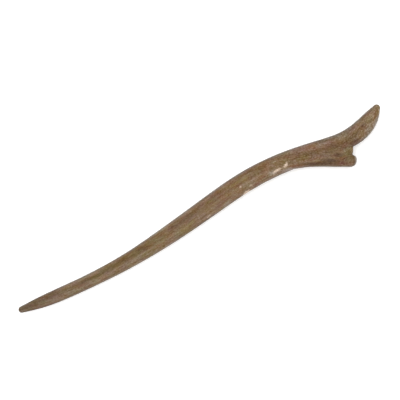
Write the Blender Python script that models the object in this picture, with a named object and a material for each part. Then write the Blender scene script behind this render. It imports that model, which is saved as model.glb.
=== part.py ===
"""Carved wooden hair stick, one solid piece lying on its underside.

Frame: +X runs from the point to the forked head, +Y across, +Z up. The origin is on
the surface that the stick lies on, under the middle of the box round the stick.

The stick is carved from a thin board. A tapered shaft bows to one side, turns over a
gentle crown and ends in a fork: a curved horn on the outer side, a straight blunt lobe
on the inner side, and a short knob between their roots. Each of the three is a loft
along its own middle line, and unions make them one solid. The rounded underside is
sanded flat where the stick rests.
"""

import math
from collections import namedtuple

import bmesh
import bpy
import numpy as np
from mathutils import Matrix, Vector

MM = 0.001

# Middle line of the shaft, crown and horn
SHAFT_LENGTH = 116.0 * MM  # point to the crown, along X
SHAFT_SAG = 4.5 * MM  # how far the shaft bows to the side
HEAD_LENGTH = 45.0 * MM  # crown to the horn's root, along X
HEAD_DROP = 6.0 * MM  # crown to the horn's root, across
HORN_REACH = 17.7 * MM  # horn's root to the middle of its round tip, along X
HORN_RISE = 5.5 * MM  # horn's root to the middle of its round tip, across

# Widths, seen from above
POINT_WIDTH = 2.7 * MM  # the blunt point
PENCIL_WIDTH = 4.8 * MM  # where the point's quick taper ends
PENCIL_LENGTH = 10.0 * MM
SHAFT_WIDTH = 6.6 * MM  # at the bottom of the shaft's bow
CROWN_WIDTH = 8.9 * MM
HORN_WIDTH = 8.0 * MM
HORN_TIP_WIDTH = 3.0 * MM

# Thicknesses
POINT_DEPTH = 2.6 * MM
PENCIL_DEPTH = 3.9 * MM
SHAFT_DEPTH = 5.6 * MM
CROWN_DEPTH = 8.0 * MM
HORN_TIP_DEPTH = 3.2 * MM
POINT_LIFT = 1.3 * MM  # underside of the point above the surface
HORN_LIFT = 1.4 * MM  # underside of the horn's tip above the surface
LAND_CUT = 0.4 * MM  # sanded off the rounded underside, which leaves the flat land

# Lobe, the straight prong on the inner side of the fork
LOBE_ANGLE = math.radians(31.0)  # its middle line, turned down from the X axis
LOBE_WIDTH = 5.7 * MM
LOBE_STEP = 0.6 * MM  # how much thinner than the crown its end is
LOBE_GAP = 9.1 * MM  # middle of its end to the middle of the horn's root, across it
LOBE_REACH = 1.2 * MM  # how far its end lies past the horn's root, along it
LOBE_LENGTH = 26.0 * MM
LOBE_BOW = 1.8 * MM  # how far its root bows away from the horn

# Knob, the stub that fills the fork
KNOB_BITE = 1.2 * MM  # how far it runs into the horn and into the lobe
KNOB_SPREAD = 2.6 * MM  # how much wider its root is, buried in the crown and the lobe
KNOB_BOW = 2.8 * MM  # how far its root bows away from the horn
KNOB_STEP = 1.2 * MM  # how much thinner than the crown its end is
KNOB_LENGTH = 21.0 * MM
KNOB_SETBACK = 1.7 * MM  # how far its end lies behind the lobe's
KNOB_ROUNDING = 1.0 * MM  # of its end

# 2 gives an elliptical outline, and more a flatter top and fuller shoulders
POINT_SQUARENESS = 2.0
SHAFT_SQUARENESS = 2.3
HEAD_SQUARENESS = 2.8
LOBE_END_SQUARENESS = 2.3  # of the ends, seen from above
KNOB_END_SQUARENESS = 3.0

# Fineness of the faceted solid
RING_POINTS = 24
RING_SPACING = 2.2 * MM
CAP_RINGS = 4
SHARP_ANGLE = math.radians(40.0)

WALNUT_COLOUR = (0.221, 0.147, 0.089, 1.0)
WALNUT_ROUGHNESS = 0.55

# One section of a loft: the place of its middle along X and across, its width, its
# thickness, the height of its underside before sanding, and how square its outline is
Section = namedtuple("Section", "along across width depth under squareness")


def clear_scene():
    for thing in list(bpy.data.objects):
        bpy.data.objects.remove(thing, do_unlink=True)


def new_collection(name):
    collection = bpy.data.collections.new(name)
    bpy.context.scene.collection.children.link(collection)
    return collection


def walnut():
    material = bpy.data.materials.new("walnut")
    material.use_nodes = True
    shader = material.node_tree.nodes["Principled BSDF"]
    shader.inputs["Base Color"].default_value = WALNUT_COLOUR
    shader.inputs["Roughness"].default_value = WALNUT_ROUGHNESS
    shader.inputs["Metallic"].default_value = 0.0
    return material


def bends_at(points, steps):
    """Second derivatives of the natural cubic curve through points these steps apart."""
    count = len(points)
    system = np.eye(count)
    right = np.zeros_like(points)
    for i in range(1, count - 1):
        before, after = steps[i - 1], steps[i]
        system[i, i - 1 : i + 2] = before, 2 * (before + after), after
        rise = (points[i + 1] - points[i]) / after
        right[i] = 6 * (rise - (points[i] - points[i - 1]) / before)
    return np.linalg.solve(system, right)


def smooth_sections(sections):
    """Sections close together on the smooth curve through these, in every one of their sizes."""
    points = np.array(sections, float)
    steps = np.linalg.norm(np.diff(points[:, :2], axis=0), axis=1)
    bends = bends_at(points, steps)
    found = []
    for i, step in enumerate(steps):
        parts = max(2, round(step / RING_SPACING))
        for k in range(parts):
            ahead = step * k / parts
            back = step - ahead
            curve = (bends[i] * back**3 + bends[i + 1] * ahead**3) / (6 * step)
            start = (points[i] / step - bends[i] * step / 6) * back
            end = (points[i + 1] / step - bends[i + 1] * step / 6) * ahead
            found.append(curve + start + end)
    found.append(points[-1])
    return [Section(*row) for row in found]


def middle_of(section, direction, ahead):
    height = section.under + section.depth / 2
    return Vector((section.along, section.across, height)) + direction * ahead


def ring(section, direction, share=1.0, ahead=0.0):
    """The section's outline. In a cap it is shrunk by share and moved ahead."""
    sideways = Vector((-direction.y, direction.x, 0.0))
    middle = middle_of(section, direction, ahead)
    power = 2 / section.squareness
    found = []
    for k in range(RING_POINTS):
        angle = math.tau * (k + 0.5) / RING_POINTS
        across = math.copysign(abs(math.cos(angle)) ** power, math.cos(angle))
        up = math.copysign(abs(math.sin(angle)) ** power, math.sin(angle))
        point = middle + sideways * (across * share * section.width / 2)
        point.z += up * share * section.depth / 2
        found.append(point)
    return found


def cap_rings(section, direction, length, squareness):
    """Shrinking outlines from next to the section to next to the cap's pole."""
    power = 2 / squareness
    turns = [math.pi / 2 * k / CAP_RINGS for k in range(1, CAP_RINGS)]
    return [
        ring(section, direction, math.cos(turn) ** power, length * math.sin(turn) ** power)
        for turn in turns
    ]


def loft(name, sections, first_cap, last_cap, cap_squareness=2.0):
    """A closed body through these sections, with a rounded cap of its own length at each end."""
    rows = smooth_sections(sections)
    slopes = np.gradient(np.array([(row.along, row.across) for row in rows]), axis=0)
    directions = [Vector((x, y, 0.0)).normalized() for x, y in slopes]
    first = cap_rings(rows[0], directions[0], -first_cap, cap_squareness)
    last = cap_rings(rows[-1], directions[-1], last_cap, cap_squareness)
    between = [ring(row, direction) for row, direction in zip(rows, directions)]
    mesh = bmesh.new()
    loops = [
        [mesh.verts.new(point) for point in points]
        for points in first[::-1] + between + last
    ]
    poles = (
        mesh.verts.new(middle_of(rows[0], directions[0], -first_cap)),
        mesh.verts.new(middle_of(rows[-1], directions[-1], last_cap)),
    )
    for k in range(RING_POINTS):
        after = (k + 1) % RING_POINTS
        for loop, following in zip(loops, loops[1:]):
            mesh.faces.new((loop[k], loop[after], following[after], following[k]))
        for loop, pole in zip((loops[0], loops[-1]), poles):
            mesh.faces.new((loop[k], loop[after], pole))
    bmesh.ops.recalc_face_normals(mesh, faces=mesh.faces)
    return new_object(name, mesh)


def new_object(name, mesh):
    data = bpy.data.meshes.new(name)
    mesh.to_mesh(data)
    mesh.free()
    return bpy.data.objects.new(name, data)


def horn_root():
    return Vector((SHAFT_LENGTH + HEAD_LENGTH, -HEAD_DROP, 0.0))


def between(first, second, share):
    return first + share * (second - first)


def shaft_sections():
    """From the blunt point to just before the crown."""
    return [
        Section(
            along=POINT_WIDTH / 2,
            across=0.0,
            width=POINT_WIDTH,
            depth=POINT_DEPTH,
            under=POINT_LIFT,
            squareness=POINT_SQUARENESS,
        ),
        Section(
            along=PENCIL_LENGTH,
            across=-0.31 * SHAFT_SAG,
            width=PENCIL_WIDTH,
            depth=PENCIL_DEPTH,
            under=0.6 * POINT_LIFT,
            squareness=POINT_SQUARENESS,
        ),
        Section(
            along=0.24 * SHAFT_LENGTH,
            across=-0.76 * SHAFT_SAG,
            width=between(PENCIL_WIDTH, SHAFT_WIDTH, 0.58),
            depth=between(PENCIL_DEPTH, SHAFT_DEPTH, 0.6),
            under=0.0,
            squareness=SHAFT_SQUARENESS,
        ),
        Section(
            along=0.43 * SHAFT_LENGTH,
            across=-SHAFT_SAG,
            width=SHAFT_WIDTH,
            depth=SHAFT_DEPTH,
            under=-LAND_CUT,
            squareness=SHAFT_SQUARENESS,
        ),
        Section(
            along=0.62 * SHAFT_LENGTH,
            across=-0.8 * SHAFT_SAG,
            width=between(SHAFT_WIDTH, CROWN_WIDTH, 0.62),
            depth=between(SHAFT_DEPTH, CROWN_DEPTH, 0.45),
            under=-LAND_CUT,
            squareness=SHAFT_SQUARENESS,
        ),
        Section(
            along=0.81 * SHAFT_LENGTH,
            across=-0.35 * SHAFT_SAG,
            width=between(SHAFT_WIDTH, CROWN_WIDTH, 0.97),
            depth=between(SHAFT_DEPTH, CROWN_DEPTH, 0.8),
            under=-LAND_CUT,
            squareness=SHAFT_SQUARENESS,
        ),
    ]


def head_sections():
    """From the crown to the horn's root."""
    crown = Section(SHAFT_LENGTH, 0.0, CROWN_WIDTH, CROWN_DEPTH, -LAND_CUT, HEAD_SQUARENESS)
    root = horn_root()
    neck = crown._replace(
        along=SHAFT_LENGTH + 0.45 * HEAD_LENGTH,
        across=-0.28 * HEAD_DROP,
        width=between(CROWN_WIDTH, HORN_WIDTH, 0.45),
    )
    throat = crown._replace(
        along=SHAFT_LENGTH + 0.76 * HEAD_LENGTH,
        across=-0.73 * HEAD_DROP,
        width=HORN_WIDTH,
    )
    fork = crown._replace(along=root.x, across=root.y, width=HORN_WIDTH)
    return [crown, neck, throat, fork]


def horn_sections():
    """From past the horn's root to the middle of its round tip."""
    root = horn_root()
    # Shares of the reach, of the rise, and of the way to the tip's width, depth and lift
    shape = (
        (0.38, 0.11, -0.03, 0.10, 0.0),
        (0.68, 0.43, 0.19, 0.32, 0.1),
        (0.90, 0.80, 0.65, 0.72, 0.6),
        (1.0, 1.0, 1.0, 1.0, 1.0),
    )
    return [
        Section(
            along=root.x + reach * HORN_REACH,
            across=root.y + rise * HORN_RISE,
            width=between(HORN_WIDTH, HORN_TIP_WIDTH, thinned),
            depth=between(CROWN_DEPTH, HORN_TIP_DEPTH, flattened),
            under=between(-LAND_CUT, HORN_LIFT, lifted),
            squareness=between(HEAD_SQUARENESS, SHAFT_SQUARENESS, thinned),
        )
        for reach, rise, thinned, flattened, lifted in shape
    ]


def stick_body():
    sections = shaft_sections() + head_sections() + horn_sections()
    return loft("hair_stick", sections, POINT_WIDTH / 2, HORN_TIP_WIDTH / 2)


def fork_axes():
    """Unit vectors along the lobe, towards its end, and across it, away from the horn."""
    forward = Vector((math.cos(LOBE_ANGLE), -math.sin(LOBE_ANGLE), 0.0))
    inward = Vector((-math.sin(LOBE_ANGLE), -math.cos(LOBE_ANGLE), 0.0))
    return forward, inward


def prong_sections(end, length, bow, widths, end_depth):
    """From inside the trunk, along a line that bows at its root, to the prong's end."""
    forward, inward = fork_axes()
    found = []
    for k, width in enumerate(widths):
        share = k / (len(widths) - 1)
        back = 1 - share
        place = end - forward * (length * back) + inward * (bow * back**3)
        depth = between(CROWN_DEPTH - LOBE_STEP, end_depth, share)
        found.append(Section(place.x, place.y, width, depth, -LAND_CUT, HEAD_SQUARENESS))
    return found


def lobe_body():
    forward, inward = fork_axes()
    end = horn_root() + inward * LOBE_GAP + forward * LOBE_REACH
    widths = (LOBE_WIDTH, 0.96 * LOBE_WIDTH, 1.02 * LOBE_WIDTH, LOBE_WIDTH)
    sections = prong_sections(end, LOBE_LENGTH, LOBE_BOW, widths, CROWN_DEPTH - LOBE_STEP)
    return loft("lobe", sections, LOBE_WIDTH / 2, LOBE_WIDTH / 2, LOBE_END_SQUARENESS)


def knob_body():
    """A stub midway between the facing edges of the horn and the lobe."""
    forward, inward = fork_axes()
    horn_edge = HORN_WIDTH / 2
    lobe_edge = LOBE_GAP - LOBE_WIDTH / 2
    width = lobe_edge - horn_edge + 2 * KNOB_BITE
    lobe_tip = LOBE_REACH + LOBE_WIDTH / 2
    ahead = lobe_tip - KNOB_SETBACK - KNOB_ROUNDING
    end = horn_root() + inward * between(horn_edge, lobe_edge, 0.5) + forward * ahead
    widths = (width + KNOB_SPREAD, width + 0.7 * KNOB_SPREAD, width)
    sections = prong_sections(end, KNOB_LENGTH, KNOB_BOW, widths, CROWN_DEPTH - KNOB_STEP)
    return loft("knob", sections, KNOB_ROUNDING, KNOB_ROUNDING, KNOB_END_SQUARENESS)


def land_cutter():
    """A box whose top face is the surface that the stick lies on."""
    reach = 2 * (SHAFT_LENGTH + HEAD_LENGTH + HORN_REACH)
    mesh = bmesh.new()
    bmesh.ops.create_cube(mesh, size=reach)
    bmesh.ops.translate(mesh, verts=mesh.verts, vec=(0.0, 0.0, -reach / 2))
    return new_object("land_cutter", mesh)


def add_boolean(target, other, operation):
    modifier = target.modifiers.new(other.name, "BOOLEAN")
    modifier.operation = operation
    modifier.solver = "EXACT"
    modifier.object = other
    other.display_type = "WIRE"
    other.hide_render = True


def apply_modifiers(thing):
    graph = bpy.context.evaluated_depsgraph_get()
    applied = bpy.data.meshes.new_from_object(thing.evaluated_get(graph))
    thing.modifiers.clear()
    thing.data = applied


def centre_over_origin(mesh):
    places = np.array([vertex.co for vertex in mesh.vertices])
    middle = (places.min(axis=0) + places.max(axis=0)) / 2
    mesh.transform(Matrix.Translation((-middle[0], -middle[1], 0.0)))


def build():
    clear_scene()
    parts = new_collection("hair_stick")
    cutters = new_collection("hair_stick_cutters")
    stick = stick_body()
    parts.objects.link(stick)
    for helper, operation in (
        (knob_body(), "UNION"),
        (lobe_body(), "UNION"),
        (land_cutter(), "DIFFERENCE"),
    ):
        cutters.objects.link(helper)
        add_boolean(stick, helper, operation)
    apply_modifiers(stick)
    for helper in list(cutters.objects):
        bpy.data.objects.remove(helper)
    centre_over_origin(stick.data)
    stick.data.materials.clear()
    stick.data.materials.append(walnut())
    stick.data.shade_smooth()
    stick.data.set_sharp_from_angle(angle=SHARP_ANGLE)


build()
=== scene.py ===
import math

import bmesh
import bpy
import numpy as np
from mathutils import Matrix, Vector


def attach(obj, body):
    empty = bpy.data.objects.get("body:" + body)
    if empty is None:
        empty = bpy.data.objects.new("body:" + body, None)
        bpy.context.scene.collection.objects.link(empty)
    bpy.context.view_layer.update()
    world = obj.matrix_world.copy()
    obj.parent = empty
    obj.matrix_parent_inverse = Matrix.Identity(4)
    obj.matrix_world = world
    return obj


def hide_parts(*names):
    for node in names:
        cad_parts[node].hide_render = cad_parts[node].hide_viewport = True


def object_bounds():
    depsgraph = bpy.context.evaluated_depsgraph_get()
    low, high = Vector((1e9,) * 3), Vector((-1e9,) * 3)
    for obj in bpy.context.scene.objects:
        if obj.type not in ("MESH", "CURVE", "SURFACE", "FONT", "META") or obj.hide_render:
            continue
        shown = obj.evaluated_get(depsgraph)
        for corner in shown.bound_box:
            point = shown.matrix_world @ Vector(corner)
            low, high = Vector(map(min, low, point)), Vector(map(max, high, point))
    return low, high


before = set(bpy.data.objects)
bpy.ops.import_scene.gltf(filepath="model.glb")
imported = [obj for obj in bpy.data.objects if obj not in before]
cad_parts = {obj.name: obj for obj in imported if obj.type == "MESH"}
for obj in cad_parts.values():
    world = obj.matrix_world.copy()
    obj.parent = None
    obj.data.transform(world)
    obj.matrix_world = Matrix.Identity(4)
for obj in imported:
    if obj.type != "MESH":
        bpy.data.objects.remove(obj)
cadLow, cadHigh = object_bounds()
mm = 0.001
length = (cadHigh.x - cadLow.x) / mm   # everything below is worked out in millimetres
width = (cadHigh.y - cadLow.y) / mm
height = (cadHigh.z - cadLow.z) / mm
print("frame loaded:", round(length, 1), "x", round(width, 1), "x", round(height, 1), "mm")


# the carved stick, in millimetres and degrees
stick = {
    "node": "hair_stick",
    "cell": 0.25,              # mesh size of the carving
    "sandShaft": 0.55,         # how far the sanding rounds things over
    "sandPoint": 0.3,          # less at the point, so it stays crisp
    "sandFork": 0.35,          # and round the fork
    "pointLength": 14,
    "sandFade": (0.3, 0.37),   # where the sanding changes to the fork's, in shares of the length
    "swellShaft": 0.09,        # the sides are moved out by this, beyond the solid's
    "swellFork": 0.12,
    "swellFade": (0.2, 0.3),
    "forkFrom": 0.29,          # where the head starts to open, as a share of the length from the middle
    "corner": (0.399, -0.166), # inner corner between horn and knob, in shares of length and width
    "hornSlope": 0.02,         # rise of the heart line where it reaches that corner
    "hornJoin": 3,             # and how soon it then meets the horn's lower edge
    "lobeAngle": -31,          # which way the lobe points
    "lobeEnd": 0.36,           # where the lower edge stops belonging to the lobe
    "advance": 0.86,           # the lower edge is shorter than the upper one by this in the fork
    "slice": 0.5,              # step of the lines that the grain follows
    "endMargin": 0.3,
    "beyond": 3,               # those lines run on this far past both ends
    "topFacing": (0.1, 0.6),   # how far up a face looks, from not at all to fully on top
    "notUnder": (-0.2, 0.3),
    "flankFacing": (0.2, 0.7),
    "edgeReach": 0.5,
    "paleMarkDent": 0.06,
    "seed": 7,
    "facets": {
        "count": 260,
        "depth": (0.01, 0.035),
        "reach": (4, 9),
        "deepest": 0.12,       # nothing stands further out of a facet than this
        "core": 0.6,           # share of a facet that is cut in full
        "sameWay": 0.8,        # a facet takes only what faces nearly its own way
    },
    "ridge": {
        "from": -64,
        "to": -8,
        "place": -0.22,        # across the stick, from -1 at the lower edge to 1 at the upper one
        "spread": 0.34,
        "rise": 0.14,
        "fade": 14,
    },
    "web": {
        "from": 44,            # the wood between horn and lobe is filled up flush from here
        "to": 66,
        "reach": 1.6,
        "rounds": 8,
        "fadeIn": 4,
        "fadeOut": 5,
        "top": (0.5, 0.7),     # in shares of the height
    },
    "crease": {
        "back": (67.2, 1.0),   # where it dies out on the crown
        "depth": 0.1,
        "half": 0.5,
        "full": 0.35,          # share of its length before it starts to die out
    },
    "nick": {
        "at": (69.7, -6.8),    # the small step between the ends of knob and lobe
        "reach": 0.9,
        "depth": 0.4,
    },
    # place x, y, reach along and across, turn, strength
    "marks": {
        "worn": [
            (37.3, 3.9, 2.7, 0.75, -4, 1.0),
            (41.7, 4.1, 1.8, 0.85, 30, 0.95),
            (39.2, 3.4, 4.0, 1.0, -12, 0.45),
            (1.8, 1.3, 1.9, 0.7, 10, 0.60),
            (20.3, 5.5, 1.2, 0.9, 20, 0.56),
            (21.3, 2.0, 2.4, 0.9, 5, 1.1),
            (24.4, 3.8, 1.7, 0.9, -20, 0.55),
            (35.5, 3.1, 1.3, 0.6, -15, 0.62),
            (88.9, 4.6, 0.9, 0.6, 80, 0.6),
        ],
        # dark red-brown streaks in the grain, and painted shade along the lower edges of the crown and of
        # the lobe
        "stain": [
            (58.5, -3.2, 4.5, 0.9, -31, 1.2),
            (54.0, -2.2, 9.0, 0.9, -30, 1.0),
            (35.0, 1.6, 9.0, 0.7, -4, 0.8),
            (60.1, 0.0, 5.0, 0.55, -30, 0.7),
            (59.0, -1.1, 4.5, 0.8, -30, 0.6),
            (63.7, -3.4, 2.8, 1.3, -30, 0.95),
            (72.4, -2.2, 3.2, 1.3, 8, 1.1),
            (67.7, -9.8, 1.6, 0.4, 55, 0.7),
            (78.9, 2.4, 2.8, 0.9, 11, 0.75),
            (76.0, 1.0, 6.0, 0.5, 22, 0.6),
        ],
        # pale grey patches; those along the horn's lower edge, at its tip and at the lobe's end are a
        # painted sheen where these edges catch the light
        "weathered": [
            (84.6, 0.2, 3.6, 1.4, 46, 1.0),
            (80.9, -1.7, 3.2, 1.2, 24, 0.75),
            (77.3, -2.5, 3.2, 0.8, 10, 0.5),
            (88.0, 6.2, 2.6, 0.9, 12, 0.4),
            (68.9, -9.3, 1.8, 0.55, 59, 0.8),
            (11.4, 1.9, 3.0, 0.8, 8, 0.6),
            (34.8, 4.0, 3.2, 1.1, -10, 0.75),
            (41.8, 1.7, 3.8, 0.8, -22, 1.0),
            (48.6, 3.0, 7.0, 0.9, -17, 0.3),
            (55.5, 7.0, 8.0, 0.8, -16, 0.42),
            (64.5, 4.4, 6.0, 0.8, -17, 0.45),
        ],
        # darker olive patches; the two by the knob's end are painted shade where it slopes down to the
        # notch
        "olive": [
            (68.0, -4.2, 2.6, 2.6, 0, 0.8),
            (67.4, -2.6, 1.3, 1.1, 0, 0.9),
            (83.2, 2.2, 2.2, 1.1, 20, 0.8),
        ],
    },
}


def meshArrays(mesh):
    points = np.empty(len(mesh.vertices) * 3, np.float32)
    mesh.vertices.foreach_get("co", points)
    ends = np.empty(len(mesh.edges) * 2, np.int32)
    mesh.edges.foreach_get("vertices", ends)
    return points.reshape(-1, 3).astype(float) / mm, ends.reshape(-1, 2)


def storePoints(mesh, points):
    mesh.vertices.foreach_set("co", (points * mm).astype(np.float32).ravel())
    mesh.update()


def outward(mesh):
    normals = np.empty(len(mesh.vertices) * 3, np.float32)
    mesh.vertex_normals.foreach_get("vector", normals)
    return normals.reshape(-1, 3).astype(float)


def fade(value, start, end):
    share = np.clip((value - start) / (end - start), 0, 1)
    return share * share * (3 - 2 * share)


def around(values, ends, neighbours):
    # mean of each vertex's neighbours
    total = np.empty_like(values)
    for axis in range(values.shape[1]):
        total[:, axis] = np.bincount(ends[:, 0], values[ends[:, 1], axis], len(values))
        total[:, axis] += np.bincount(ends[:, 1], values[ends[:, 0], axis], len(values))
    return total / neighbours[:, None]


def spreadOut(values, ends, neighbours, reach, cell):
    # evens values out over about this reach, a number or one for each vertex
    fullRate = 0.5             # of the way to the neighbours' mean in one step
    stepSpread = 0.25          # what such a step spreads, in cells squared
    steps = int(np.ceil(np.max(reach) ** 2 / (stepSpread * cell * cell)))
    rate = (fullRate * (reach / np.max(reach)) ** 2 * np.ones(len(values)))[:, None]
    for _ in range(steps):
        values = values + rate * (around(values, ends, neighbours) - values)
    return values


def remeshed(node, cell):
    mesh = node.data.copy()
    work = bmesh.new()
    work.from_mesh(mesh)
    touching = 0.001 * mm
    bmesh.ops.remove_doubles(work, verts=work.verts, dist=touching)
    work.to_mesh(mesh)
    work.free()
    rough = bpy.data.objects.new("roughStick", mesh)
    bpy.context.scene.collection.objects.link(rough)
    remesh = rough.modifiers.new("cells", "REMESH")
    remesh.mode = "VOXEL"
    remesh.voxel_size = cell * mm
    graph = bpy.context.evaluated_depsgraph_get()
    carved = bpy.data.meshes.new_from_object(rough.evaluated_get(graph))
    bpy.data.objects.remove(rough)
    return carved


def sand(points, ends, neighbours):
    # rounds the facets over, then gives back the size that this takes away
    forkFrom, forkTo = stick["sandFade"]
    alongFork = fade(points[:, 0], forkFrom * length, forkTo * length)
    toPoint = 1 - fade(points[:, 0], -0.5 * length, -0.5 * length + stick["pointLength"])
    reach = stick["sandShaft"] + (stick["sandFork"] - stick["sandShaft"]) * alongFork
    reach = reach + (stick["sandPoint"] - stick["sandShaft"]) * toPoint
    smooth = spreadOut(points, ends, neighbours, reach, stick["cell"])
    smooth = smooth + spreadOut(points - smooth, ends, neighbours, reach, stick["cell"])
    return smooth


def edgeLines(points):
    # upper and lower edge of the stick seen from above, for places along it
    step, margin = stick["slice"], stick["endMargin"]
    places = np.arange(-0.5 * length + margin, 0.5 * length - margin, step)
    slot = np.clip(((points[:, 0] - places[0]) / step + 0.5).astype(int), 0, len(places) - 1)
    upper = np.full(len(places), -length)
    lower = np.full(len(places), length)
    np.maximum.at(upper, slot, points[:, 1])
    np.minimum.at(lower, slot, points[:, 1])
    return places, upper, lower


def guides(points):
    # three lines that the grain follows: upper edge, heart line and lower edge
    places, upper, lower = edgeLines(points)
    forkStart = stick["forkFrom"] * 0.5 * length
    corner = (stick["corner"][0] * length, stick["corner"][1] * width)
    lobeEnd = stick["lobeEnd"] * length
    beyond = stick["beyond"]
    along = np.arange(-0.5 * length - beyond, 0.5 * length + beyond, stick["slice"])
    top = np.interp(along, places, upper)
    bottom = np.interp(along, places, lower)
    middle = (top + bottom) / 2
    share = np.clip((along - forkStart) / (corner[0] - forkStart), 0, 1)
    startHeight = np.interp(forkStart, along, middle)
    startSlope = (np.interp(forkStart + 1, along, middle) - startHeight) * (corner[0] - forkStart)
    hornSlope = stick["hornSlope"] * (corner[0] - forkStart)
    bent = (2 * share ** 3 - 3 * share ** 2 + 1) * startHeight
    bent += (share ** 3 - 2 * share ** 2 + share) * startSlope
    bent += (3 * share ** 2 - 2 * share ** 3) * corner[1]
    bent += (share ** 3 - share ** 2) * hornSlope
    heart = np.where(along < forkStart, middle, np.where(along < corner[0], bent, bottom))
    reach = stick["hornJoin"]
    join = (along > corner[0]) & (along < corner[0] + reach)
    meets = np.interp(corner[0] + reach, places, lower)
    heart[join] = corner[1] + (along[join] - corner[0]) / reach * (meets - corner[1])
    lowerX = np.where(along < forkStart, along, forkStart + (along - forkStart) * stick["advance"])
    lowerY = np.interp(np.minimum(lowerX, lobeEnd), places, lower)
    lowerY += np.maximum(lowerX - lobeEnd, 0) * math.tan(math.radians(stick["lobeAngle"]))
    return along, top, heart, lowerX, lowerY


def sectionShare(points, along, fromX, fromY, toX, toY):
    # for each point, the place along where the section line runs through it, and the share of that line
    low = np.full(len(points), along[0])
    high = np.full(len(points), along[-1])
    halvings = 24
    for _ in range(halvings):
        half = (low + high) / 2
        baseX, baseY = np.interp(half, along, fromX), np.interp(half, along, fromY)
        wayX, wayY = np.interp(half, along, toX) - baseX, np.interp(half, along, toY) - baseY
        ahead = (points[:, 0] - baseX) * wayY - (points[:, 1] - baseY) * wayX > 0
        low = np.where(ahead, half, low)
        high = np.where(ahead, high, half)
    share = (points[:, 0] - baseX) * wayX + (points[:, 1] - baseY) * wayY
    return half, share / np.maximum(wayX ** 2 + wayY ** 2, 1e-6)


def grainPlaces(points, lines):
    # along, share across and distance across for each point, following the form as the grain does
    along, top, heart, lowerX, lowerY = lines
    placeUp, shareUp = sectionShare(points, along, along, heart, along, top)
    placeDown, shareDown = sectionShare(points, along, lowerX, lowerY, along, heart)
    above = shareUp >= 0
    place = np.where(above, placeUp, placeDown)
    side = np.clip(np.where(above, shareUp, shareDown - 1), -1.1, 1.1)
    halfWidth = np.interp(place, along, (top - np.interp(along, lowerX, lowerY)) / 2)
    forkStart = stick["forkFrom"] * 0.5 * length
    openWidth = np.interp(forkStart, along, (top - np.interp(along, lowerX, lowerY)) / 2)
    halfWidth = np.where(place < forkStart, halfWidth, openWidth)
    return place, side, side * halfWidth


def whittle(points, normals, chance):
    # long shallow knife facets, each one a flat cut just under the surface
    facets = stick["facets"]
    for _ in range(facets["count"]):
        centre = chance.integers(len(points))
        depth = chance.uniform(*facets["depth"])
        reach = chance.uniform(*facets["reach"])
        away = points - points[centre]
        above = away @ normals[centre] + depth
        near = 1 - fade(np.linalg.norm(away, axis=1), facets["core"] * reach, reach)
        near *= 1 - fade(above, facets["core"] * facets["deepest"], facets["deepest"])
        cut = (above > 0) & (near > 0) & (normals @ normals[centre] > facets["sameWay"])
        points[cut] -= normals[centre] * (above * near)[cut][:, None]
    return points


def segmentShare(points, start, end):
    # share along a line seen from above, and the distance from it
    way = np.array(end) - np.array(start)
    share = np.clip((points[:, :2] - np.array(start)) @ way / (way @ way), 0, 1)
    gap = points[:, :2] - (np.array(start) + share[:, None] * way)
    return share, np.hypot(gap[:, 0], gap[:, 1])


def markStrength(points, x, y, reachAlong, reachAcross, turn):
    angle = math.radians(turn)
    awayX, awayY = points[:, 0] - x, points[:, 1] - y
    alongMark = awayX * math.cos(angle) + awayY * math.sin(angle)
    acrossMark = awayY * math.cos(angle) - awayX * math.sin(angle)
    return np.exp(-(alongMark / reachAlong) ** 2 - (acrossMark / reachAcross) ** 2)


def paintMarks(points, places):
    strength = np.zeros(len(points))
    for x, y, reachAlong, reachAcross, turn, most in places:
        strength = np.maximum(strength, most * markStrength(points, x, y, reachAlong, reachAcross, turn))
    return strength


def fillWeb(points, ends, neighbours):
    # lifts the dip between horn and lobe until the top runs across it almost flush
    web = stick["web"]
    inWeb = fade(points[:, 0], web["from"] - web["fadeIn"], web["from"])
    inWeb *= 1 - fade(points[:, 0], web["to"], web["to"] + web["fadeOut"])
    inWeb *= fade(points[:, 2], web["top"][0] * height, web["top"][1] * height)
    for _ in range(web["rounds"]):
        even = spreadOut(points[:, 2:], ends, neighbours, web["reach"], stick["cell"])[:, 0]
        points[:, 2] += inWeb * np.maximum(even - points[:, 2], 0)
    return points


def keepValue(mesh, name, values, kind="FLOAT"):
    attribute = mesh.attributes.new(name, kind, "POINT")
    key = "value" if kind == "FLOAT" else "vector"
    attribute.data.foreach_set(key, np.asarray(values, np.float32).ravel())


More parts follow.
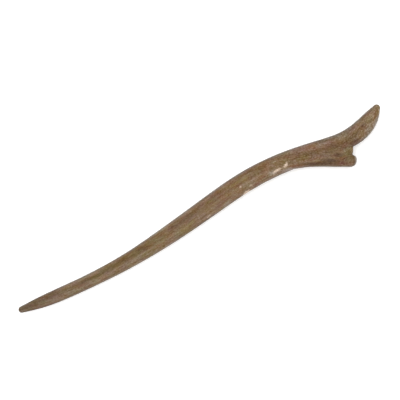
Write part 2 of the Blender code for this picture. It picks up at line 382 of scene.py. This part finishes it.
def carveStick():
    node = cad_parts[stick["node"]]
    mesh = remeshed(node, stick["cell"])
    points, ends = meshArrays(mesh)
    print("stick remeshed:", len(points), "points")
    neighbours = np.bincount(ends.ravel(), minlength=len(points)).astype(float)
    points = sand(points, ends, neighbours)
    points = fillWeb(points, ends, neighbours)
    storePoints(mesh, points)
    chance = np.random.default_rng(stick["seed"])
    points = whittle(points, outward(mesh), chance)
    storePoints(mesh, points)
    print("stick sanded and whittled")

    ridge, crease, nick = stick["ridge"], stick["crease"], stick["nick"]
    lines = guides(points)
    place, side, across = grainPlaces(points, lines)
    normals = outward(mesh)
    facingUp = fade(normals[:, 2], *stick["topFacing"])
    lift = fade(place, ridge["from"], ridge["from"] + ridge["fade"])
    lift *= 1 - fade(place, ridge["to"] - ridge["fade"], ridge["to"])
    lift *= np.exp(-((side - ridge["place"]) / ridge["spread"]) ** 2) * ridge["rise"]
    corner = (stick["corner"][0] * length, stick["corner"][1] * width)
    share, gap = segmentShare(points, corner, crease["back"])
    groove = np.exp(-(gap / crease["half"]) ** 2) * (1 - fade(share, crease["full"], 1))
    notUnder = fade(normals[:, 2], *stick["notUnder"])
    marks = {name: paintMarks(points, places) * notUnder for name, places in stick["marks"].items()}
    shift = lift * facingUp - groove * facingUp * crease["depth"] - stick["paleMarkDent"] * marks["worn"]
    points = points + normals * shift[:, None]
    swellFrom, swellTo = stick["swellFade"]
    inFork = fade(points[:, 0], swellFrom * length, swellTo * length)
    out = stick["swellShaft"] + (stick["swellFork"] - stick["swellShaft"]) * inFork
    fromNick = np.hypot(points[:, 0] - nick["at"][0], points[:, 1] - nick["at"][1])
    out -= nick["depth"] * np.exp(-(fromNick / nick["reach"]) ** 2)
    points[:, :2] += normals[:, :2] * out[:, None]
    points[:, 2] = np.maximum(points[:, 2], 0)
    storePoints(mesh, points)

    # bend of the surface: convex edges come out lighter as edge wear, hollows darker as painted shade
    bend = np.sum((points - around(points, ends, neighbours)) * outward(mesh), axis=1)
    bend = bend[:, None] / stick["cell"] ** 2
    bend = spreadOut(bend, ends, neighbours, stick["edgeReach"], stick["cell"])[:, 0]
    keepValue(mesh, "grainPlace", np.stack([place, across, points[:, 2]], 1), "FLOAT_VECTOR")
    keepValue(mesh, "side", side)
    for name, strength in marks.items():
        keepValue(mesh, name, strength)
    # painted shade: the crease's mask, which darkens the colour there
    keepValue(mesh, "groove", groove * facingUp)
    # painted shade: a mask of the sides that face away from the top, where the colour is darkened and
    # greyed
    keepValue(mesh, "flank", 1 - fade(np.abs(normals[:, 2]), *stick["flankFacing"]))
    keepValue(mesh, "edge", bend)
    for face in mesh.polygons:
        face.use_smooth = True
    piece = bpy.data.objects.new("carvedStick", mesh)
    bpy.context.scene.collection.objects.link(piece)
    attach(piece, "root")
    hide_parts(stick["node"])
    return piece


walnut = {
    # tones from the dark streaks to the worn high places
    "tones": [
        (0.0, (0.070, 0.034, 0.013)),
        (0.3, (0.158, 0.087, 0.036)),
        (0.5, (0.250, 0.150, 0.073)),
        (0.7, (0.362, 0.238, 0.132)),
        (1.0, (0.560, 0.415, 0.285)),
    ],
    # how the tone changes from the point to the horn, as shares of the length
    "byPlace": [
        (0.02, (0.41, 0.43, 0.49)),
        (0.13, (0.60, 0.64, 0.72)),
        (0.26, (0.66, 0.73, 0.79)),
        (0.47, (0.63, 0.65, 0.66)),
        (0.58, (0.69, 0.70, 0.72)),
        (0.70, (0.77, 0.83, 0.95)),
        (0.85, (0.57, 0.52, 0.49)),
        (0.92, (0.62, 0.64, 0.62)),
        (0.97, (0.80, 0.87, 0.96)),
    ],
    "paleMark": (0.40, 0.285, 0.195),  # pale marks, from here
    "palest": (0.66, 0.52, 0.41),      # to here
    # what the dark streaks and the painted shade along the lower edges multiply the colour by
    "darkStainAndShade": (0.62, 0.55, 0.52),
    # what the olive patches multiply the colour by, partly painted shade
    "olive": (0.74, 0.78, 0.66),
    "weathered": (0.52, 1.5),          # saturation and value of the pale grey patches, partly a painted sheen
    "roughness": 0.56,
    "specular": 0.3,
    "ior": 1.5,
    # turns of each noise in a millimetre along, across and up, then its detail and roughness
    "noises": {
        "sway": ((0.035, 0.12, 0.12), 2, 0.5),
        "waver": ((0.16, 0.5, 0.5), 1, 0.5),
        "broad": ((0.02, 0.38, 0.38), 1, 0.4),
        "mottle": ((0.15, 0.6, 0.6), 2, 0.5),
        "streak": ((0.05, 1.3, 1.3), 3, 0.6),
        "fine": ((1.3, 2.7, 2.7), 3, 0.7),
        "pores": ((0.5, 4.6, 4.6), 1, 0.5),
        "hue": ((0.16, 0.42, 0.42), 3, 0.6),
        "strong": ((0.2, 0.4, 0.4), 2, 0.5),
        "flecks": ((1.1, 1.7, 1.7), 4, 0.75),
    },
    # how much each of them moves the tone
    "broad": 0.50,
    "mottle": 0.40,
    "streak": 0.40,
    "fine": 1.15,
    "ring": 0.05,
    "pores": 0.14,
    # lightens convex edges as edge wear and darkens hollows as painted shade
    "edge": 0.05,
    # darkening of the crease, painted shade
    "groove": 0.05,
    # from the first place along the stick to the second, the contrast goes from the one value to the other
    "lively": (25.0, 50.0, 0.80, 1.12),
    "darkBand": 0.125,         # a darker band above the middle of the shaft
    "paleBand": 0.04,          # and a paler one below it
    "darkPlace": (0.25, 0.5),  # middle and reach across the stick
    "palePlace": (-0.45, 0.6),
    "shaftEnd": (45.0, 28.0),
    "hueSpread": 0.13,
    "strength": 1.04,
    "strengthSpread": 0.75,
    "shadedRim": (0.70, 0.98),       # upper rim, across the stick, darkened and greyed as painted shade
    "drift": 41.0,             # which stretch of the grain this stick is cut from
    "tintDrift": 0.0,          # and the same for its reds and greens
    "swayReach": 2.2,          # how far the grain wanders, in millimetres
    "waverReach": 0.35,
    "ringWidth": 1.35,
    "ringRise": (0.35, 0.92),  # a ring darkens slowly and ends at once, in shares of its width
    "ringEnd": (0.93, 1.0),
    "poreCut": (0.60, 0.72),
    "ragged": 0.8,             # how uneven the edges of bands and stains are
    "stainCut": (0.2, 0.9),
    "greyCut": (0.15, 1.0, 0.0, 0.85),
    "paleMarkCut": (0.30, 0.95),
    "paleMarkReach": (0.05, 0.4),
    "paleMarkRagged": 1.5,
    "palerCut": (0.3, 0.65),
    "roughFine": 0.22,         # what fine grain, pores and the pale marks add to the roughness
    "roughPores": 0.12,
    "roughPaleMarks": 0.1,
    "reliefFine": 0.020,       # and to the relief, in millimetres
    "reliefStreak": 0.012,
    "reliefPores": 0.03,
    "heartAcross": -15.0,
    "heartUp": -7.0,
}


class Wire:
    # a socket that can stand in a sum

    def __init__(self, finish, socket):
        self.finish = finish
        self.socket = socket

    def reckon(self, operation, *values):
        return self.finish.add("ShaderNodeMath", {"operation": operation}, dict(enumerate(values)))

    def __add__(self, other):
        return self.reckon("ADD", self, other)

    def __radd__(self, other):
        return self.reckon("ADD", other, self)

    def __sub__(self, other):
        return self.reckon("SUBTRACT", self, other)

    def __rsub__(self, other):
        return self.reckon("SUBTRACT", other, self)

    def __mul__(self, other):
        return self.reckon("MULTIPLY", self, other)

    def __rmul__(self, other):
        return self.reckon("MULTIPLY", other, self)

    def __pow__(self, other):
        return self.reckon("POWER", self, other)


class Finish:
    # the nodes of a material, or of the sky

    def __init__(self, owner):
        owner.use_nodes = True
        self.tree = owner.node_tree
        self.tree.nodes.clear()

    def add(self, kind, settings, values, output=0):
        node = self.tree.nodes.new(kind)
        for name, value in settings.items():
            if name == "stops":
                self.setStops(node.color_ramp, value)
            else:
                setattr(node, name, value)
        for name, value in values.items():
            if isinstance(value, Wire):
                self.tree.links.new(value.socket, node.inputs[name])
            else:
                node.inputs[name].default_value = value
        return Wire(self, node.outputs[output]) if node.outputs else node

    def setStops(self, ramp, stops):
        while len(ramp.elements) < len(stops):
            ramp.elements.new(1)
        for element, (place, colour) in zip(ramp.elements, stops):
            element.position = place
            element.color = (*colour, 1)

    def between(self, value, start, end, low=0.0, high=1.0):
        # a smooth step from low at start to high at end
        values = {"Value": value, "From Min": start, "From Max": end, "To Min": low, "To Max": high}
        return self.add("ShaderNodeMapRange", {"interpolation_type": "SMOOTHSTEP"}, values)

    def noise(self, vector, size, detail=2.0, roughness=0.5):
        # size is how many turns of the noise fit in a millimetre, each way
        stretched = self.add("ShaderNodeVectorMath", {"operation": "MULTIPLY"}, {0: vector, 1: size})
        values = {"Vector": stretched, "Scale": 1.0, "Detail": detail, "Roughness": roughness}
        return self.add("ShaderNodeTexNoise", {}, values)

    def blend(self, share, first, second, how="MIX"):
        settings = {"data_type": "RGBA", "blend_type": how}
        return self.add("ShaderNodeMix", settings, {0: share, 6: first, 7: second}, 2)

    def painted(self, name, kind="Fac"):
        # a value kept on the mesh, point by point
        return self.add("ShaderNodeAttribute", {"attribute_name": name}, {}, kind)

    def split(self, vector):
        return [self.add("ShaderNodeSeparateXYZ", {}, {0: vector}, axis) for axis in range(3)]

    def join(self, x, y, z):
        return self.add("ShaderNodeCombineXYZ", {}, {0: x, 1: y, 2: z})


def opaque(colour):
    return (*colour, 1)


def band(make, value, middle, reach):
    # 1 at the middle, falling softly to 0 this far to both sides
    away = (value - middle) * (1 / reach)
    return make.between(away * away, 1.0, 0.0)


def pattern(make, vector, name):
    size, detail, roughness = walnut["noises"][name]
    return make.noise(vector, size, detail, roughness)


def walnutFinish():
    material = bpy.data.materials.new("walnut")
    make = Finish(material)
    grain = make.painted("grainPlace", "Vector")
    side = make.painted("side")
    worn = make.painted("worn")
    groove = make.painted("groove")
    edge = make.painted("edge")
    stain = make.painted("stain")
    weathered = make.painted("weathered")
    olive = make.painted("olive")
    flank = make.painted("flank")
    along, across, up = make.split(grain)

    # the grain wanders a little on its way
    sway = pattern(make, grain, "sway") - 0.5
    waver = pattern(make, grain, "waver") - 0.5
    swayed = across + walnut["swayReach"] * sway + walnut["waverReach"] * waver
    fibre = make.join(along + walnut["drift"], swayed, up)

    # yearly rings round a heart that lies outside the stick
    ringX = swayed - walnut["heartAcross"]
    ringZ = up - walnut["heartUp"]
    radius = (ringX * ringX + ringZ * ringZ) ** 0.5
    years = radius * (1 / walnut["ringWidth"])
    turn = years.reckon("FRACT", years)
    ring = make.between(turn, *walnut["ringRise"]) * (1 - make.between(turn, *walnut["ringEnd"]))

    broad = pattern(make, fibre, "broad")
    mottle = pattern(make, fibre, "mottle")
    streak = pattern(make, fibre, "streak")
    fine = pattern(make, fibre, "fine")
    pores = make.between(pattern(make, fibre, "pores"), *walnut["poreCut"])

    figure = walnut["broad"] * (broad - 0.5) + walnut["mottle"] * (mottle - 0.5)
    figure = figure + walnut["streak"] * (streak - 0.5) + walnut["fine"] * (fine - 0.5)
    lively = make.between(along, *walnut["lively"])
    shade = 0.5 + lively * figure - walnut["ring"] * ring - walnut["pores"] * pores
    # lighter on convex edges as edge wear and darker in hollows as painted shade
    # the crease is darkened as painted shade
    shade = shade + walnut["edge"] * edge - walnut["groove"] * groove
    lean = side + walnut["ragged"] * (mottle - 0.5)
    onShaft = make.between(along, *walnut["shaftEnd"])
    shade = shade - walnut["darkBand"] * onShaft * band(make, lean, *walnut["darkPlace"])
    shade = shade + walnut["paleBand"] * band(make, lean, *walnut["palePlace"])
    colour = make.add("ShaderNodeValToRGB", {"stops": walnut["tones"]}, {"Fac": shade})
    place = (along + 0.5 * length) * (1 / length)
    byPlace = make.add("ShaderNodeValToRGB", {"stops": walnut["byPlace"]}, {"Fac": place})
    colour = make.blend(1.0, colour, byPlace, "MULTIPLY")

    # redder and more golden streaks, and some that are greyer
    tint = make.join(along + walnut["tintDrift"], swayed, up)
    # the sides get painted shade and a greyish painted sheen: a little yellower, less saturated and darker
    hue = 0.5 + walnut["hueSpread"] * (pattern(make, tint, "hue") - 0.5) + 0.006 * flank
    strong = walnut["strength"] + walnut["strengthSpread"] * (pattern(make, tint, "strong") - 0.5)
    # painted shade on the upper rim: it is greyed and darkened below
    upper = make.between(side, *walnut["shadedRim"])
    strong = strong - 0.2 * flank + 0.7 * (0.5 - shade) - 0.2 * upper
    values = {
        "Hue": hue,
        "Saturation": strong,
        "Value": 1.0 - 0.12 * flank - 0.06 * upper,
        "Color": colour,
    }
    colour = make.add("ShaderNodeHueSaturation", {}, values)

    # dark streaks in the grain with painted shade along the lower edges, olive patches that are partly
    # painted shade, and pale grey patches that are partly a painted sheen
    dark = make.between(stain + walnut["ragged"] * (streak - 0.5), *walnut["stainCut"])
    stainedAndShaded = make.blend(1.0, colour, opaque(walnut["darkStainAndShade"]), "MULTIPLY")
    colour = make.blend(dark, colour, stainedAndShaded)
    # olive patches, painted shade by the knob's end
    green = make.between(olive + walnut["ragged"] * (mottle - 0.5), *walnut["stainCut"])
    greened = make.blend(1.0, colour, opaque(walnut["olive"]), "MULTIPLY")
    colour = make.blend(green, colour, greened)
    uneven = weathered + 0.7 * (fine - 0.5) + 0.4 * (mottle - 0.5)
    grey = make.between(uneven, *walnut["greyCut"])
    saturation, value = walnut["weathered"]
    values = {"Hue": 0.5, "Saturation": saturation, "Value": value, "Color": colour}
    colour = make.blend(grey, colour, make.add("ShaderNodeHueSaturation", {}, values))

    # pale cream marks
    flecks = pattern(make, grain, "flecks")
    flecked = worn + walnut["paleMarkRagged"] * (flecks - 0.5)
    paleMarkShare = make.between(flecked, *walnut["paleMarkCut"]) * make.between(worn, *walnut["paleMarkReach"])
    palerShare = make.between(fine + 0.5 * (streak - 0.5), *walnut["palerCut"])
    cream = make.blend(palerShare, opaque(walnut["paleMark"]), opaque(walnut["palest"]))
    colour = make.blend(paleMarkShare, colour, cream)

    rough = walnut["roughness"] + walnut["roughFine"] * (fine - 0.5)
    rough = rough + walnut["roughPores"] * pores + walnut["roughPaleMarks"] * paleMarkShare
    relief = walnut["reliefFine"] * fine + walnut["reliefStreak"] * streak
    relief = relief - walnut["reliefPores"] * pores
    bump = make.add("ShaderNodeBump", {}, {"Height": relief, "Distance": mm, "Strength": 1.0})
    values = {
        "Base Color": colour,
        "Roughness": rough,
        "Normal": bump,
        "Specular IOR Level": walnut["specular"],
        "IOR": walnut["ior"],
    }
    shader = make.add("ShaderNodeBsdfPrincipled", {}, values)
    make.add("ShaderNodeOutputMaterial", {}, {"Surface": shader})
    return material


studio = {
    "floorSize": 6.0,
    "floorTone": (0.93, 0.93, 0.93),
    "floorGlow": 0.26,         # near the stick
    "farGlow": 0.6,            # and far off, so that the floor stays white to its end
    "glowReach": (0.25, 1.2),  # in metres
    "sky": 0.66,               # overhead
    "lowSky": 1.05,            # and down at the floor
    "skyReach": (0.2, 0.5),    # from the one to the other, as heights of the way there
    "keyPower": 7.0,
    "keySize": 0.9,
    "keyFrom": (-0.1, 0.22, 0.9),
    "aim": (0.0123, 0.428),    # off the middle, in shares of length and width
    "turn": -29.77,
    "view": 0.963,             # width of the picture, in shares of the length
    "lens": 100,
}


def layFloor():
    half = studio["floorSize"] / 2
    mesh = bpy.data.meshes.new("floor")
    corners = [(-half, -half, 0), (half, -half, 0), (half, half, 0), (-half, half, 0)]
    mesh.from_pydata(corners, [], [(0, 1, 2, 3)])
    floor = bpy.data.objects.new("floor", mesh)
    bpy.context.scene.collection.objects.link(floor)
    material = bpy.data.materials.new("paleFloor")
    make = Finish(material)
    place = make.add("ShaderNodeTexCoord", {}, {}, "Object")
    away = make.add("ShaderNodeVectorMath", {"operation": "LENGTH"}, {0: place}, "Value")
    glow = make.between(away, *studio["glowReach"], studio["floorGlow"], studio["farGlow"])
    values = {"Base Color": opaque(studio["floorTone"]), "Roughness": 0.9}
    values["Emission Color"] = make.join(glow, glow, glow)
    values["Emission Strength"] = 1.0
    shader = make.add("ShaderNodeBsdfPrincipled", {}, values)
    make.add("ShaderNodeOutputMaterial", {}, {"Surface": shader})
    mesh.materials.append(material)


def setLights():
    world = bpy.data.worlds.new("studioWhite")
    make = Finish(world)
    way = make.split(make.add("ShaderNodeTexCoord", {}, {}, "Generated"))[2]
    glow = make.between(way, *studio["skyReach"], studio["lowSky"], studio["sky"])
    sky = make.add("ShaderNodeBackground", {}, {"Color": make.join(glow, glow, glow), "Strength": 1.0})
    make.add("ShaderNodeOutputWorld", {}, {"Surface": sky})
    bpy.context.scene.world = world
    light = bpy.data.lights.new("window", "AREA")
    light.size = studio["keySize"]
    light.energy = studio["keyPower"]
    window = bpy.data.objects.new("window", light)
    window.location = studio["keyFrom"]
    window.rotation_euler = (-Vector(studio["keyFrom"])).to_track_quat("-Z", "Y").to_euler()
    bpy.context.scene.collection.objects.link(window)


def placeCamera():
    camera = bpy.data.cameras.new("camera")
    camera.lens = studio["lens"]
    lookDown = bpy.data.objects.new("camera", camera)
    fieldWidth = studio["view"] * length * mm
    distance = fieldWidth * camera.lens / camera.sensor_width
    aimX, aimY = studio["aim"][0] * length * mm, studio["aim"][1] * width * mm
    lookDown.location = (aimX, aimY, distance + 0.5 * height * mm)
    lookDown.rotation_euler = (0, 0, math.radians(studio["turn"]))
    bpy.context.scene.collection.objects.link(lookDown)
    bpy.context.scene.camera = lookDown


carved = carveStick()
carved.data.materials.clear()
carved.data.materials.append(walnutFinish())
print("stick finished in walnut")
layFloor()
setLights()
placeCamera()
bpy.context.scene.view_settings.view_transform = "Standard"
print("floor, light and camera set")
